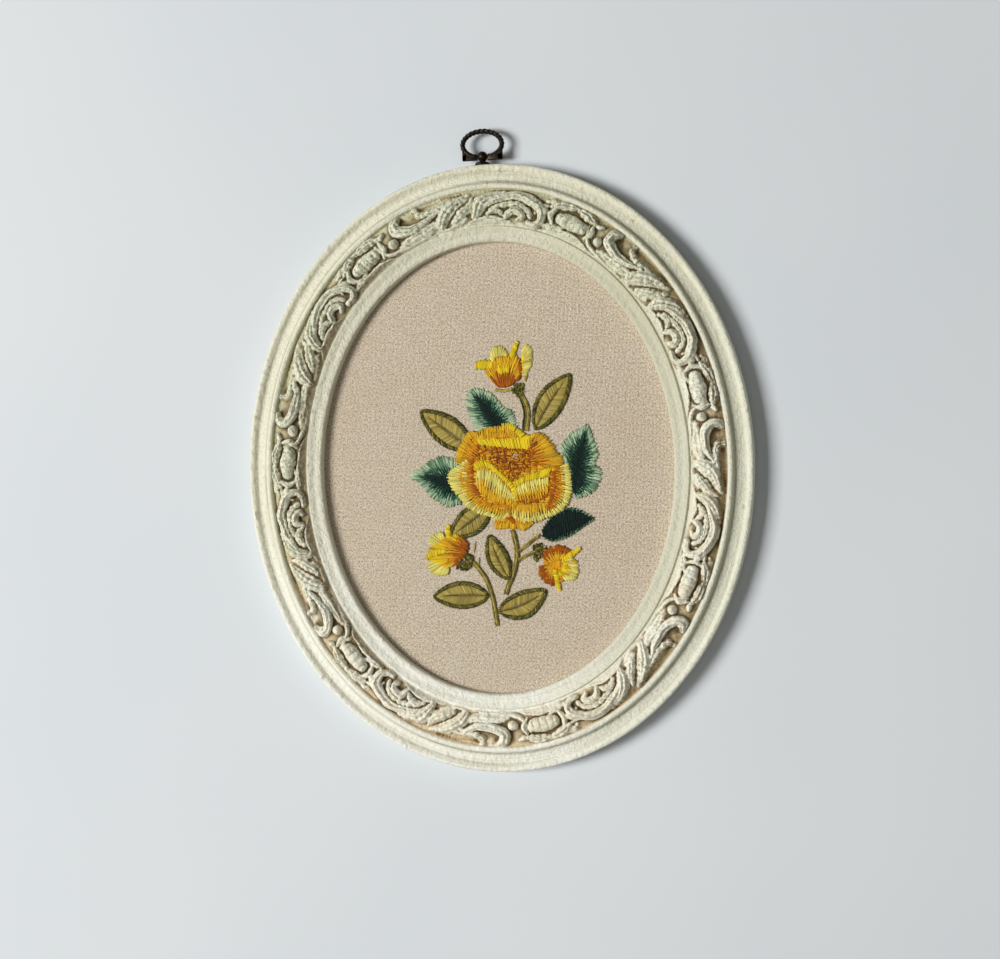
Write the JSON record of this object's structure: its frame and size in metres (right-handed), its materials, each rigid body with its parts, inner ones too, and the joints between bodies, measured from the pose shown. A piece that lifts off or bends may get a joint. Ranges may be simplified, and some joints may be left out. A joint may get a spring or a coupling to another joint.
{
  "type": "framed embroidery in an oval frame",
  "caption": "Rose spray stitched on plain linen, in a cream oval moulded frame with scroll ornament and a swinging hanging bail.",
  "frame": {"origin": "centre of the bounding box on the plane that the frame's back lies on", "axes": "+X across the picture to the viewer's right, +Y towards the top of the picture and its bail, +Z out of the picture's face"},
  "size_m": [0.2818, 0.353, 0.0198],
  "materials": {
    "cream_paint": "chalky cream paint over cast composition, grey-green wax in the hollows",
    "linen": "plain weave, natural pinkish beige, uneven threads",
    "board": "plain brown backing board",
    "yellow_thread": "wool thread in rust, gold, yellow and pale lemon",
    "olive_thread": "wool thread in olive and tan",
    "teal_thread": "wool thread shaded from dark teal to pale green",
    "teal_dark_thread": "dark teal wool thread with a blanket-stitched edge",
    "bronze": "dark antiqued bronze, rubbed bright on the ball"
  },
  "bodies": {
    "framed_picture": {"frame": "cream_paint", "linen": "linen", "backing_board": "board", "rose": "yellow_thread", "bud_top": "yellow_thread", "bud_left": "yellow_thread", "bud_right": "yellow_thread", "leaf_teal_top": "teal_thread", "leaf_teal_left": "teal_thread", "leaf_teal_right": "teal_thread", "leaf_teal_dark": "teal_dark_thread", "leaf_top_right": "olive_thread", "leaf_top_left": "olive_thread", "leaf_mid_left": "olive_thread", "leaf_low_middle": "olive_thread", "leaf_low_left": "olive_thread", "leaf_low_right": "olive_thread", "stem_main": "olive_thread", "stem_rose": "olive_thread", "stem_top_bud": "olive_thread", "stem_right_bud": "olive_thread", "stem_dark_leaf": "olive_thread", "stud": "bronze"},
    "bail": {"bail": "bronze"}
  },
  "joints": [
    {"name": "bail_swing", "type": "hinge", "parent": "framed_picture", "child": "bail", "pos_m": [-0.0045, 0.16118, 0.0066], "axis": [1, 0, 0], "range_deg": [-20, 120]}
  ]
}
